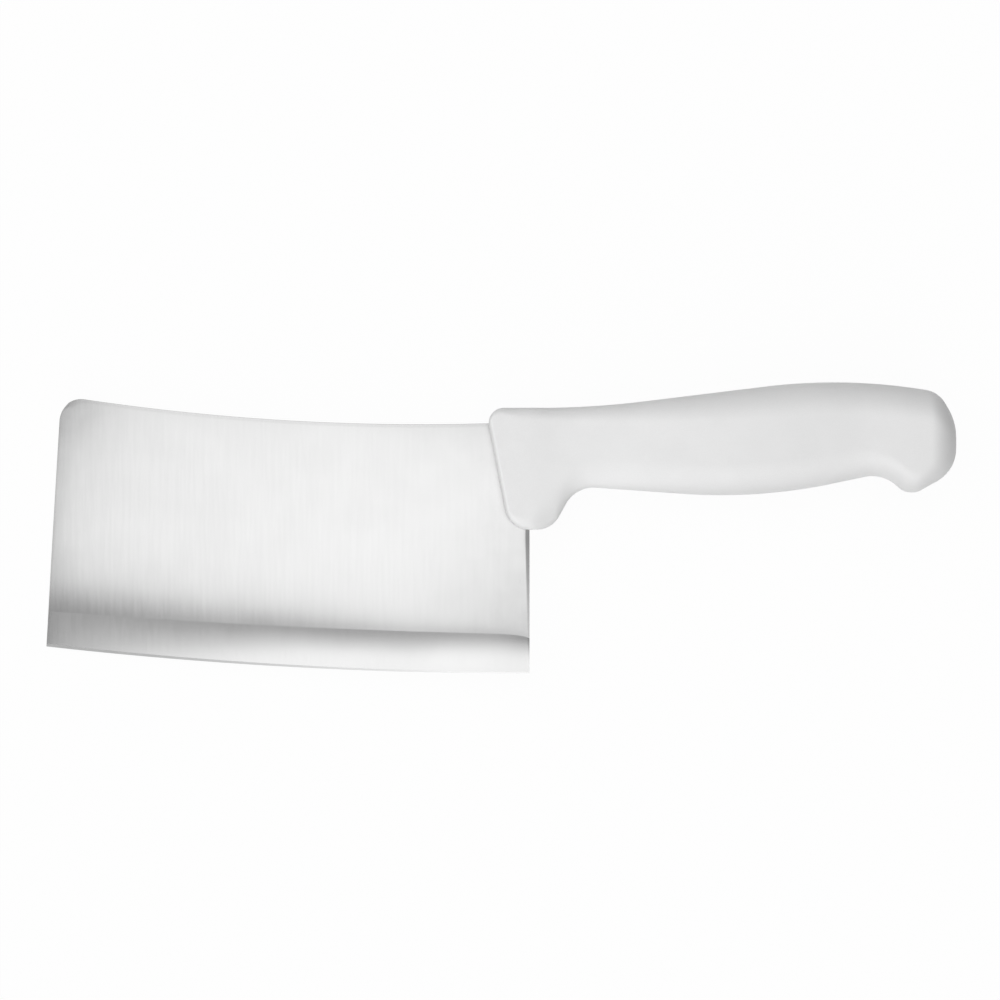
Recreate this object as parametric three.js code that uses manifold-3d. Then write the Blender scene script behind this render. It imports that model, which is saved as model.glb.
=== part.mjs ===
// A six-inch kitchen cleaver: a ground steel plate with its tang moulded into a white polypropylene handle.
// Sizes are in millimetres. The cleaver is drawn lying on its side: x runs along it, 0 at the heel of the blade
// and positive towards the butt; y runs across it, 0 at the lowest point of the cutting edge and positive
// towards the spine; z is up, 0 in the middle of the plate. The finished group is moved so that it stands on
// z = 0 with the origin under the middle of its box.

import * as THREE from "three";
import { mergeVertices } from "three/addons/utils/BufferGeometryUtils.js";
import Module from "manifold-3d";

const wasm = await Module();
wasm.setup();

const { degToRad, smoothstep, lerp, clamp } = THREE.MathUtils;

// Blade outline
const bladeLength = 152.4; // six inches, from the tip end to the heel
const spineHeight = 78.6; // lowest point of the hollow spine above the cutting edge
const spineRadius = 714; // the spine is hollow, so its centre is above the blade
const spineLow = 34.5; // how far the lowest point of the spine is in front of the heel
const edgeRadius = 1365; // belly of the cutting edge, which is lowest at the heel
const tipLean = degToRad(3.4);
const tipCornerRadius = 7.2;
const edgeCornerRadius = 2;

// Blade thickness, from the spine down to the edge
const plateThickness = 3.5;
const easeWidth = 1.2; // rounding of the stamped rim, across the face
const easeDepth = 0.7; // and into the thickness
const taperHeight = 46; // above this height over the edge the sides are parallel
const taperLoss = 0.35; // thickness that the taper has lost at the grind line, on each side
const rollHeight = 30; // below this height the sides also roll over towards the grind line
const rollLoss = 0.25; // thickness that the roll has taken at the grind line, on each side
const grindHeight = 12.2;
const sharpenHeight = 0.9;
const sharpenThickness = 0.6;
const edgeThickness = 0.16;

// Tang and its lock
const tangRootHeight = 15; // at the heel, down from the spine
const tangRise = degToRad(2);
const tangEndHeight = 12;
const tangRootFillet = 4;
const tangEndRadius = 5;
const tangEndCover = 31; // plastic between the tang's end and the butt
const tangHoleDiameter = 7;
const tangHoleCount = 3;
const tangHoleMargin = 22; // first hole behind the heel, and last hole in front of the tang's end
const mouldGap = 0.2; // the moulding stands this far off the steel

// Handle from the side: depths are below the collar's top line, "back" is behind the heel
const collarCover = 5.1; // collar above the spine
const noseReach = 13.9; // collar in front of the heel
const noseRadius = 4.8;
const guardDepth = 38.3;
const guardReach = 6.4; // toe of the guard lobe in front of the heel
const guardBack = 7;
const guardToeRadius = 8;
const guardBackRadius = 8.1;
const notchDepth = 24.6; // finger notch behind the guard
const notchBack = 14.5;
const notchRadius = 10;
const riseBack = 19.1; // where the top line turns up to the crown
const riseRadius = 274;

// Handle from the side: "ahead" is in front of the butt
const gripLength = 134.6; // from the heel to the butt
const bellyDepth = 28.7;
const bellyAhead = 62.2;
const bellyRadius = 171;
const crownRise = 9.8; // palm swell above the collar's top line
const crownAhead = 36.1;
const crownRadius = 178;
const hollowDepth = 20.4; // last finger's hollow in front of the hook
const hollowAhead = 22.8;
const hollowRadius = 11.5;
const hookDepth = 28;
const hookAhead = 15.1;
const hookRadius = 6;
const shoulderRise = 5.2; // corner between the top line and the butt
const shoulderAhead = 5.8;
const shoulderRadius = 8.4;
const buttHighDepth = 4.3;
const buttHighRadius = 18.5;
const buttLowDepth = 19.7;
const buttLowRadius = 12;

// Handle across its sides
const collarWidth = 18;
const waistWidth = 17.2;
const waistBack = 9.6;
const palmWidth = 23;
const palmAhead = 63;
const rearWidth = 22;
const rearAhead = 34;
const pommelWidth = 24;
const pommelAhead = 14;

// Rounding of the handle's rims: across the side, and into the width
const noseRound = 2;
const collarRound = 4;
const collarRoundDepth = 3.2;
const guardRound = 10; // the lobe's back, where the finger leans on it
const guardRoundDepth = 4.6;
const gripRound = 10;
const gripRoundBack = 80; // the grip is fully round from here on
const hookRound = 7;
const buttRound = 9;
const partingLand = 0.4; // flat left at the moulding's parting line

const steelColour = 0xc9c9c9;
const plasticColour = 0xf4f4f4;

const tipX = -bladeLength;
const collarTop = spineHeight + collarCover;
const tangLength = gripLength - tangEndCover;

const edgeAt = (x) => edgeRadius - Math.sqrt(edgeRadius ** 2 - x ** 2);
const spineAt = (x) => spineHeight + spineRadius - Math.sqrt(spineRadius ** 2 - (x + spineLow) ** 2);
const tipAt = (y) => tipX + (y - edgeAt(tipX)) * Math.tan(tipLean);

// A value that runs smoothly through stops given as [x, value].
function through(stops, x) {
  const next = stops.findIndex(([stop]) => stop > x);
  if (next === 0) return stops[0][1];
  if (next < 0) return stops.at(-1)[1];
  const [[fromX, from], [toX, to]] = stops.slice(next - 1, next + 1);
  return lerp(from, to, smoothstep(x, fromX, toX));
}

// Carries a path to a corner and round it, heading for the point after it.
function turn(path, from, corner, to, radius) {
  const back = from.clone().sub(corner).normalize();
  const ahead = to.clone().sub(corner).normalize();
  const half = back.angleTo(ahead) / 2;
  const reach = radius / Math.tan(half);
  const middle = back.clone().add(ahead).normalize();
  const centre = corner.clone().addScaledVector(middle, radius / Math.sin(half));
  const start = corner.clone().addScaledVector(back, reach).sub(centre);
  const end = corner.clone().addScaledVector(ahead, reach).sub(centre);
  path.absarc(centre.x, centre.y, radius, start.angle(), end.angle(), start.cross(end) < 0);
}

// A path round corners given as [x, y, radius]; the first and the last only say where it comes from and heads to.
function corneredPath(corners) {
  const points = corners.map(([x, y]) => new THREE.Vector2(x, y));
  const path = new THREE.Path();
  for (let i = 1; i < points.length - 1; i++) {
    turn(path, points[i - 1], points[i], points[i + 1], corners[i][2]);
  }
  return path;
}

// A closed solid through rings that have the same number of points, with a fan over each end.
function loft(rings) {
  const size = rings[0].length;
  const positions = rings.flat().flatMap((point) => point.toArray());
  const index = [];
  for (let i = 0; i < rings.length - 1; i++) {
    for (let k = 0; k < size; k++) {
      const a = i * size + k;
      const b = i * size + (k + 1) % size;
      index.push(a, b, b + size, a, b + size, a + size);
    }
  }
  const cover = (ring, base, turned) => {
    const middle = ring.reduce((sum, point) => sum.add(point), new THREE.Vector3()).divideScalar(size);
    const centre = positions.push(...middle.toArray()) / 3 - 1;
    for (let k = 0; k < size; k++) {
      const pair = [base + k, base + (k + 1) % size];
      index.push(centre, ...(turned ? pair.reverse() : pair));
    }
  };
  cover(rings[0], 0, true);
  cover(rings.at(-1), (rings.length - 1) * size, false);
  const geometry = new THREE.BufferGeometry();
  geometry.setAttribute("position", new THREE.Float32BufferAttribute(positions, 3));
  geometry.setIndex(index);
  return geometry;
}

function toSolid(geometry) {
  const bare = geometry.clone();
  bare.deleteAttribute("normal");
  bare.deleteAttribute("uv");
  const merged = mergeVertices(bare, 1e-4);
  const mesh = new wasm.Mesh({
    numProp: 3,
    vertProperties: new Float32Array(merged.getAttribute("position").array),
    triVerts: new Uint32Array(merged.getIndex().array),
  });
  return new wasm.Manifold(mesh);
}

function toMesh(name, solid, material) {
  const { vertProperties, triVerts } = solid.getMesh();
  const geometry = new THREE.BufferGeometry();
  geometry.setAttribute("position", new THREE.BufferAttribute(vertProperties, 3));
  geometry.setIndex(new THREE.BufferAttribute(triVerts, 1));
  geometry.computeVertexNormals();
  const mesh = new THREE.Mesh(geometry, material);
  mesh.name = name;
  return mesh;
}

// The stamped outline of blade and tang, moved outwards by grow.
function blankOutline(grow) {
  const shape = new THREE.Shape();
  const heel = grow;
  const angleAt = (x, centre, radius) => -Math.PI / 2 + Math.asin((x - centre.x) / radius);

  // The cutting edge runs forwards from the heel.
  const edgeCentre = new THREE.Vector2(0, edgeRadius);
  const belly = edgeRadius + grow;
  const tipFoot = new THREE.Vector2(tipX - grow, edgeAt(tipX) - grow);
  const edgeStart = angleAt(heel, edgeCentre, belly);
  const edgeEnd = angleAt(tipFoot.x + edgeCornerRadius, edgeCentre, belly);
  shape.absarc(edgeCentre.x, edgeCentre.y, belly, edgeStart, edgeEnd, true);

  // The tip end leans back to a round corner, where the hollow spine starts.
  const headX = tipAt(spineAt(tipAt(spineHeight)));
  const tipHead = new THREE.Vector2(headX - grow, spineAt(headX) + grow);
  const spineFront = headX + 1.5 * tipCornerRadius;
  const spineAhead = new THREE.Vector2(spineFront, spineAt(spineFront) + grow);
  turn(shape, shape.currentPoint.clone(), tipFoot, tipHead, edgeCornerRadius);
  turn(shape, tipFoot, tipHead, spineAhead, tipCornerRadius);
  const spineCentre = new THREE.Vector2(-spineLow, spineHeight + spineRadius);
  const hollow = spineRadius - grow;
  const spineStart = angleAt(spineFront, spineCentre, hollow);
  const spineEnd = angleAt(heel, spineCentre, hollow);
  shape.absarc(spineCentre.x, spineCentre.y, hollow, spineStart, spineEnd, false);

  // Behind the heel the spine runs on as the top of the tang, which rises and narrows to a round end.
  const along = new THREE.Vector2(Math.cos(tangRise), Math.sin(tangRise));
  const across = new THREE.Vector2(-along.y, along.x);
  const root = new THREE.Vector2(0, spineAt(0) - tangRootHeight / 2);
  const onTang = (length, side) => root.clone().addScaledVector(along, length).addScaledVector(across, side);
  const atHeel = (from, to) => from.clone().lerp(to, (heel - from.x) / (to.x - from.x));
  const endHalf = tangEndHeight / 2 + grow;
  const highRoot = shape.currentPoint.clone();
  const highEnd = onTang(tangLength + grow, endHalf);
  const lowEnd = onTang(tangLength + grow, -endHalf);
  const lowRoot = atHeel(onTang(0, -tangRootHeight / 2 - grow), lowEnd);
  const heelFoot = shape.getPoint(0);
  turn(shape, highRoot, highEnd, lowEnd, tangEndRadius + grow);
  turn(shape, highEnd, lowEnd, lowRoot, tangEndRadius + grow);
  turn(shape, lowEnd, lowRoot, heelFoot, tangRootFillet - grow);

  const holePitch = (tangLength - 2 * tangHoleMargin) / (tangHoleCount - 1);
  for (let i = 0; i < tangHoleCount; i++) {
    const centre = onTang(tangHoleMargin + i * holePitch, 0);
    const hole = new THREE.Path();
    hole.absarc(centre.x, centre.y, tangHoleDiameter / 2 - grow, 0, 2 * Math.PI);
    shape.holes.push(hole);
  }
  return shape;
}

// The stamped blank: a plate with a rounded rim, moved outwards by grow.
function blank(grow) {
  const depth = plateThickness + 2 * grow - 2 * easeDepth;
  const geometry = new THREE.ExtrudeGeometry(blankOutline(grow), {
    depth,
    bevelThickness: easeDepth,
    bevelSize: easeWidth,
    bevelOffset: -easeWidth,
    bevelSegments: 3,
    curveSegments: 8,
  });
  return toSolid(geometry.translate(0, 0, -depth / 2));
}

// Half the thickness that grinding leaves at a height above the cutting edge.
function groundHalf(height) {
  const taper = taperLoss * (taperHeight - height) / (taperHeight - grindHeight);
  const roll = rollLoss * (Math.max(0, rollHeight - height) / (rollHeight - grindHeight)) ** 2;
  return plateThickness / 2 - taper - roll;
}

// The space inside the grinding: sides that taper and roll over to the bevel and the sharpened edge.
function groundSpace() {
  const sharpenSlope = (sharpenThickness - edgeThickness) / 2 / sharpenHeight;
  const under = 0.2; // how far the sharpened sides run on below the edge
  const rolled = [0, 0.25, 0.5, 0.75, 1].map((share) => lerp(grindHeight, rollHeight, share));
  const profile = [
    [-under, edgeThickness / 2 - under * sharpenSlope],
    [sharpenHeight, sharpenThickness / 2],
    ...rolled.map((height) => [height, groundHalf(height)]),
    [taperHeight, plateThickness / 2],
    [taperHeight + easeWidth, plateThickness],
    [collarTop + tangLength, plateThickness],
  ];
  const ringAt = (x, half) => {
    const side = profile.map(([height, ground]) => new THREE.Vector3(x, edgeAt(x) + height, half ?? ground));
    const other = side.map((point) => new THREE.Vector3(point.x, point.y, -point.z));
    return [...other, ...side.reverse()];
  };
  const overrun = 6;
  const steps = 20;
  const rings = [];
  for (let i = 0; i <= steps; i++) {
    rings.push(ringAt(lerp(tipX - overrun, mouldGap, i / steps)));
  }
  rings.push(ringAt(tangRootFillet, plateThickness));
  rings.push(ringAt(tangLength + overrun, plateThickness));
  return toSolid(loft(rings));
}

function makeBlade() {
  return blank(0).intersect(groundSpace());
}

// The handle's side outline as two curves, from the collar's straight front to the straight middle of the butt.
function handleOutline() {
  const top = collarTop;
  const butt = gripLength;
  const nose = [-noseReach, top, noseRadius];
  const toe = [-guardReach, top - guardDepth, guardToeRadius];
  const front = [(nose[0] + toe[0]) / 2, (nose[1] + toe[1]) / 2];
  const middle = [butt, top - (buttLowDepth + buttHighDepth) / 2];
  const under = corneredPath([
    front,
    toe,
    [guardBack, top - guardDepth, guardBackRadius],
    [notchBack, top - notchDepth, notchRadius],
    [butt - bellyAhead, top - bellyDepth, bellyRadius],
    [butt - hollowAhead, top - hollowDepth, hollowRadius],
    [butt - hookAhead, top - hookDepth, hookRadius],
    [butt, top - buttLowDepth, buttLowRadius],
    middle,
  ]);
  const over = corneredPath([
    front,
    nose,
    [riseBack, top, riseRadius],
    [butt - crownAhead, top + crownRise, crownRadius],
    [butt - shoulderAhead, top + shoulderRise, shoulderRadius],
    [butt, top - buttHighDepth, buttHighRadius],
    middle,
  ]);
  const lean = new THREE.Vector2(toe[0] - nose[0], toe[1] - nose[1]).normalize();
  const behindFront = (x, y) => lean.x * (y - nose[1]) - lean.y * (x - nose[0]);
  return { under, over, behindFront };
}

// Pairs of points on the two curves that the cross-sections join: fine at both ends, coarse along the grip.
function sectionEnds({ under, over }) {
  const fine = 600;
  const low = under.getSpacedPoints(fine);
  const high = over.getSpacedPoints(fine);
  const firstBehind = (points, x) => points.findLastIndex((point) => point.x < x) + 1;
  const cuts = [notchBack + notchRadius, gripLength - hollowAhead - hollowRadius];
  const lowCuts = [0, ...cuts.map((x) => firstBehind(low, x)), fine];
  const highCuts = [0, ...cuts.map((x) => firstBehind(high, x)), fine];
  const ends = [];
  [28, 14, 24].forEach((steps, zone) => {
    for (let i = zone ? 1 : 0; i <= steps; i++) {
      const pick = (points, at) => points[Math.round(lerp(at[zone], at[zone + 1], i / steps))];
      ends.push([pick(low, lowCuts), pick(high, highCuts)]);
    }
  });
  return ends;
}

// The handle's body before the tang's pocket is cut.
function handleBody() {
  const outline = handleOutline();
  const butt = gripLength;
  const widths = [
    [0, collarWidth],
    [waistBack, waistWidth],
    [butt - palmAhead, palmWidth],
    [butt - rearAhead, rearWidth],
    [butt - pommelAhead, pommelWidth],
  ];
  const rounds = [
    [-noseReach, noseRound],
    [0, collarRound],
    [gripRoundBack, gripRound],
    [butt - pommelAhead, gripRound],
    [butt, buttRound],
  ];
  const roundsUnder = [
    [-noseReach, noseRound],
    [0, collarRound],
    [guardBack, guardRound],
    [gripRoundBack, gripRound],
    [butt - hollowAhead - hollowRadius, gripRound],
    [butt - hollowAhead, hookRound],
    [butt - hookAhead, hookRound],
    [butt, buttRound],
  ];
  const wallHalf = [
    [0, collarWidth / 2 - collarRoundDepth],
    [guardBack, waistWidth / 2 - guardRoundDepth],
    [gripRoundBack, partingLand / 2],
  ];
  const rounded = (distance, round) => Math.sqrt(1 - (1 - clamp(distance / round, 0, 1)) ** 2);
  const steps = 12;
  const ringBetween = ([low, high]) => {
    const length = low.distanceTo(high);
    const side = [];
    for (let k = 0; k <= steps; k++) {
      const share = (1 - Math.cos(Math.PI * k / steps)) / 2;
      const { x, y } = low.clone().lerp(high, share);
      const half = through(widths, x) / 2;
      const wall = through(wallHalf, x);
      const rim = rounded(outline.behindFront(x, y), noseRound)
        * rounded(butt - x, buttRound)
        * rounded(share * length, through(roundsUnder, low.x))
        * rounded((1 - share) * length, through(rounds, high.x));
      side.push(new THREE.Vector3(x, y, lerp(wall, half, rim)));
    }
    const other = side.map((point) => new THREE.Vector3(point.x, point.y, -point.z));
    return [...other, ...side.reverse()];
  };
  return toSolid(loft(sectionEnds(outline).map(ringBetween)));
}

// The moulding closes round the tang, so its pocket keeps a plug of plastic in each of the tang's holes.
function makeHandle() {
  return handleBody().subtract(blank(mouldGap));
}

const steel = new THREE.MeshStandardMaterial({ color: steelColour, metalness: 1, roughness: 0.35 });
const plastic = new THREE.MeshStandardMaterial({ color: plasticColour, metalness: 0, roughness: 0.55 });

const cleaver = new THREE.Group();
cleaver.name = "cleaver";
cleaver.add(toMesh("blade", makeBlade(), steel));
cleaver.add(toMesh("handle", makeHandle(), plastic));

const box = new THREE.Box3().setFromObject(cleaver);
const middle = box.getCenter(new THREE.Vector3());
cleaver.position.set(-middle.x, -middle.y, -box.min.z);

export default cleaver;
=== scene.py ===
"""A kitchen cleaver: a satin steel blade with a ground bevel, moulded into a white plastic handle.

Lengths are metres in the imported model's frame: +X from the blade's tip to the butt, +Y from the edge to
the spine, +Z up. The blade and the handle are worked out in the plate's own axes, whose origin lies on the
plate's middle plane, at the heel and at the height of the edge's lowest point.
"""

import logging
import math
from collections.abc import Callable, Mapping, Sequence
from dataclasses import dataclass, field
from enum import Enum, IntEnum
from typing import TypeVar

import bmesh
import bpy
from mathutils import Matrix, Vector


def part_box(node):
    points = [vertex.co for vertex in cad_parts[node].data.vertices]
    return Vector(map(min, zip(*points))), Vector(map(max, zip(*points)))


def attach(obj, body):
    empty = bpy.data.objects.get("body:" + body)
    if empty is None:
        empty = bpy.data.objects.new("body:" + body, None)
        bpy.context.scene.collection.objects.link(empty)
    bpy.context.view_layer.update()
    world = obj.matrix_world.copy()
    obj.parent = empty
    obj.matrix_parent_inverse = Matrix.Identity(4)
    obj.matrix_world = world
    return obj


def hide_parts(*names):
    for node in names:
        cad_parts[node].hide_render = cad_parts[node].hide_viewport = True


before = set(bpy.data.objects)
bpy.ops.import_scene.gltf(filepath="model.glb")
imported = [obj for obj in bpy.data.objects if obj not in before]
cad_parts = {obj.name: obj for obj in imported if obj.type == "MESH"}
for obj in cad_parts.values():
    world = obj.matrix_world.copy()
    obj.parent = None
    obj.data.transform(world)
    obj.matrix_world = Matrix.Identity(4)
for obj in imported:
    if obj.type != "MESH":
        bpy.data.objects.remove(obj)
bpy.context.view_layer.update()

log = logging.getLogger("cleaver")

Pair = tuple[float, float]
Triple = tuple[float, float, float]
Stops = Sequence[Pair]
Socket = bpy.types.NodeSocket
Column = TypeVar("Column")
Row = TypeVar("Row")


class Side(Enum):
    """The two sides of the plate's middle plane."""

    UPPER = 1.0
    LOWER = -1.0


class BladeZone(IntEnum):
    """The blade's surfaces, numbered as its material slots."""

    FLAT = 0
    BEVEL = 1
    SHARPENED = 2
    RIM = 3


class Band(IntEnum):
    """The bands of the blade's grid, numbered from the cutting edge to the spine."""

    SHARPENED = 0
    BEVEL = 1
    ROLL = 2
    TAPER = 3
    FLAT = 4
    CORNER = 5
    EASED = 6


# The grid's steps in each band, and the shares of an eased rim where it has lines, closest at the outside.
BAND_STEPS = {
    Band.SHARPENED: 3,
    Band.BEVEL: 14,
    Band.ROLL: 18,
    Band.TAPER: 12,
    Band.FLAT: 14,
    Band.CORNER: 8,
}
EASE_SHARES = (0.0, 0.06, 0.16, 0.3, 0.48, 0.72, 1.0)

# What finishes share: the range that most of a noise fills, the blade's map, a colour and socket types.
NOISE_SPAN = (0.3, 0.7)
BRUSH_MAP = "brush"
WHITE = (1.0, 1.0, 1.0, 1.0)
VALUE, VECTOR = "NodeSocketFloat", "NodeSocketVector"

# Small sums and curves.


def lerp(start: float, end: float, share: float) -> float:
    """The value at a share of the way from start to end."""
    return start + (end - start) * share


def smooth(share: float) -> float:
    """A share from 0 to 1 that leaves and arrives level."""
    share = min(max(share, 0.0), 1.0)
    return share * share * (3.0 - 2.0 * share)


def rounded(depth: float, radius: float) -> float:
    """How far a round rim has risen, from 0 to 1, at a depth inside it."""
    inside = min(max(depth / radius, 0.0), 1.0)
    return math.sqrt(1.0 - (1.0 - inside) ** 2)


def sag(radius: float, away: float) -> float:
    """How far an arc has left its tangent, at a distance from where they touch."""
    return radius - math.sqrt(radius**2 - away**2)


def through(stops: Stops, at: float) -> float:
    """Follows a size that changes smoothly from stop to stop.

    Args:
        stops: Pairs of place and size, in order of place.
        at: The place that is asked for.

    Returns:
        The size there, which stays level before the first stop and after the last.
    """
    for (start, low), (end, high) in zip(stops, stops[1:]):
        if at < end:
            return lerp(low, high, smooth((at - start) / (end - start)))
    return stops[-1][1]


def spread(start: float, end: float, steps: int) -> list[float]:
    """Evenly spaced values from start, with end left out."""
    return [lerp(start, end, step / steps) for step in range(steps)]


def plate_origin() -> Vector:
    """Finds the plate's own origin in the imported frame."""
    low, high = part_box("blade")
    return Vector((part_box("handle")[1].x - Handle.grip_length, low.y, (low.z + high.z) / 2))


class Contour:
    """A run of straight lines joined by round corners, which is walked by its length."""

    def __init__(self, corners: Sequence[Triple], steps: int = 24) -> None:
        """Rounds the corners.

        Args:
            corners: The x, y and radius of each corner; the run comes from the first and heads to the last.
            steps: The number of steps round each corner.
        """
        marks = [Vector((x, y)) for x, y, _ in corners]
        self.points: list[Vector] = []
        for before, mark, after, (_, _, radius) in zip(marks, marks[1:], marks[2:], corners[1:]):
            into, out = (mark - before).normalized(), (after - mark).normalized()
            turn = math.atan2(into.cross(out), into.dot(out))
            reach = radius * math.tan(abs(turn) / 2)
            side = math.copysign(1.0, turn)
            centre = mark - into * reach + Vector((-into.y, into.x)) * side * radius
            first = mark - into * reach - centre
            for step in range(steps + 1):
                angle = turn * step / steps
                cos, sin = math.cos(angle), math.sin(angle)
                arm = Vector((first.x * cos - first.y * sin, first.x * sin + first.y * cos))
                self.points.append(centre + arm)
        self.lengths: list[float] = [0.0]
        for start, end in zip(self.points, self.points[1:]):
            self.lengths.append(self.lengths[-1] + (end - start).length)

    def length_at(self, x: float) -> float:
        """Finds how long the run is where it first passes an x.

        Args:
            x: A place that the run passes on its way from the collar to the butt.

        Returns:
            The length from the run's start.
        """
        for index, (start, end) in enumerate(zip(self.points, self.points[1:])):
            if start.x <= x < end.x:
                return lerp(self.lengths[index], self.lengths[index + 1], (x - start.x) / (end.x - start.x))
        return self.lengths[-1]

    def at(self, length: float) -> Vector:
        """Finds the point at a length from the run's start.

        Args:
            length: The length along the run.

        Returns:
            The point there.
        """
        for index, (start, end) in enumerate(zip(self.lengths, self.lengths[1:])):
            if length <= end and end > start:
                return self.points[index].lerp(self.points[index + 1], (length - start) / (end - start))
        return self.points[-1]


# Meshes.


def draw_out(bm: bmesh.types.BMesh, faces: Sequence[bmesh.types.BMFace]) -> list[bmesh.types.BMVert]:
    """Extrudes faces, and gives the new corners that are then moved."""
    drawn = bmesh.ops.extrude_face_region(bm, geom=faces)["geom"]
    return [item for item in drawn if isinstance(item, bmesh.types.BMVert)]


def two_sided_shell(
    columns: Sequence[Column], rows: Sequence[Row], place: Callable[[Column, Row], Triple]
) -> bmesh.types.BMesh:
    """Makes a closed shell of two equal sides from a grid that is drawn apart and shaped.

    Args:
        columns: The grid's columns along the piece.
        rows: The grid's rows across it.
        place: Gives the x, y and half thickness where a column crosses a row.

    Returns:
        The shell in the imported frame, with its faces outwards.
    """
    along, across, half_grid = len(columns) - 1, len(rows) - 1, 0.5
    bm = bmesh.new()
    bmesh.ops.create_grid(bm, x_segments=along, y_segments=across, size=half_grid)
    sides = {Side.LOWER: list(bm.verts), Side.UPPER: draw_out(bm, list(bm.faces))}
    origin = plate_origin()
    for side, verts in sides.items():
        for vert in verts:
            column = columns[round((vert.co.x + half_grid) * along)]
            row = rows[round((vert.co.y + half_grid) * across)]
            x, y, half = place(column, row)
            vert.co = origin + Vector((x, y, side.value * half))
    bmesh.ops.recalc_face_normals(bm, faces=bm.faces)
    return bm


def finished_piece(name: str, bm: bmesh.types.BMesh) -> bpy.types.Object:
    """Turns a bmesh into a piece of the scene.

    Args:
        name: The piece's name.
        bm: The shaped mesh, which is freed.

    Returns:
        The new object, at the origin and still undressed.
    """
    mesh = bpy.data.meshes.new(name)
    bm.to_mesh(mesh)
    bm.free()
    piece = bpy.data.objects.new(name, mesh)
    bpy.context.scene.collection.objects.link(piece)
    return piece


# Node trees and the surface effects that several finishes share.


class NodeBoard:
    """Adds and joins the nodes of one tree."""

    def __init__(self, tree: bpy.types.NodeTree) -> None:
        """Starts on an empty tree."""
        self.tree = tree
        tree.nodes.clear()

    def add(
        self, kind: str, inputs: Mapping[str, object] | Sequence[object] = (), **settings: object
    ) -> bpy.types.Node:
        """Adds a node.

        Args:
            kind: The node's type.
            inputs: What its sockets hold, by name or in order: a value, or the socket that feeds it.
            **settings: The node's own settings.

        Returns:
            The node.
        """
        node = self.tree.nodes.new(kind)
        for name, value in settings.items():
            setattr(node, name, value)
        for key, value in inputs.items() if isinstance(inputs, Mapping) else enumerate(inputs):
            self.feed(node.inputs[key], value)
        return node

    def feed(self, socket: Socket, value: object) -> None:
        """Fills a socket.

        Args:
            socket: The socket to fill.
            value: Its value, or the socket that feeds it.
        """
        if isinstance(value, Socket):
            self.tree.links.new(value, socket)
        else:
            socket.default_value = value

    def sum(self, operation: str, first: object, second: object) -> Socket:
        """Works out two values or sockets with an operation of the Math node."""
        return self.add("ShaderNodeMath", (first, second), operation=operation).outputs["Value"]

    def plus(self, first: object, second: object) -> Socket:
        """The sum of two values or sockets."""
        return self.sum("ADD", first, second)

    def times(self, first: object, second: object) -> Socket:
        """The product of two values or sockets."""
        return self.sum("MULTIPLY", first, second)

    def larger(self, first: object, second: object) -> Socket:
        """The larger of two values or sockets."""
        return self.sum("MAXIMUM", first, second)

    def vector(self, operation: str, *vectors: object) -> Socket:
        """Works out vectors with an operation of the Vector Math node."""
        return self.add("ShaderNodeVectorMath", vectors, operation=operation).outputs["Vector"]

    def parts(self, vector: Socket) -> bpy.types.bpy_prop_collection:
        """The X, Y and Z of a vector."""
        return self.add("ShaderNodeSeparateXYZ", (vector,)).outputs

    def noise(
        self, place: Socket, scale: object, detail: float, roughness: float = 0.5, distortion: float = 0.0
    ) -> Socket:
        """Spreads a cloudy noise over a surface.

        Args:
            place: The place on the surface.
            scale: How close the clouds lie, as a value or a socket.
            detail: How many finer layers they have.
            roughness: How strong the finer layers are.
            distortion: How far the clouds are stirred.

        Returns:
            The noise, from 0 to 1.
        """
        inputs = {"Vector": place, "Scale": scale, "Detail": detail}
        inputs |= {"Roughness": roughness, "Distortion": distortion}
        return self.add("ShaderNodeTexNoise", inputs).outputs["Fac"]

    def ranged(self, value: object, span: Pair, result: Pair) -> Socket:
        """Maps the ends of a value's span smoothly to the result's ends, and holds it beyond them."""
        inputs = (value, *span, *result)
        return self.add("ShaderNodeMapRange", inputs, interpolation_type="SMOOTHSTEP").outputs["Result"]

    def ramp(self, value: Socket, stops: Stops) -> Socket:
        """Looks a value up on a grey ramp.

        Args:
            value: The socket to look up.
            stops: Pairs of value and brightness, in order.

        Returns:
            The brightness.
        """
        low, high = stops[0][0], stops[-1][0]
        share = self.add("ShaderNodeMapRange", (value, low, high)).outputs["Result"]
        node = self.add("ShaderNodeValToRGB", (share,))
        node.color_ramp.interpolation = "EASE"
        elements = node.color_ramp.elements
        while len(elements) < len(stops):
            elements.new(1.0)
        for element, (at, grey) in zip(elements, stops):
            element.position = (at - low) / (high - low)
            element.color = (grey, grey, grey, 1.0)
        return node.outputs["Color"]

    def grey(self, brightness: Socket) -> Socket:
        """The grey of a brightness."""
        return self.add("ShaderNodeCombineColor", (brightness,) * 3).outputs["Color"]

    def mix(self, share: Socket, first: Socket, second: Socket) -> Socket:
        """Mixes two shaders, with a share of the second."""
        return self.add("ShaderNodeMixShader", (share, first, second)).outputs["Shader"]


def empty_board(owner: bpy.types.Material | bpy.types.World) -> NodeBoard:
    """Gives a material or a world an empty board of nodes."""
    owner.use_nodes = True
    return NodeBoard(owner.node_tree)


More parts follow.
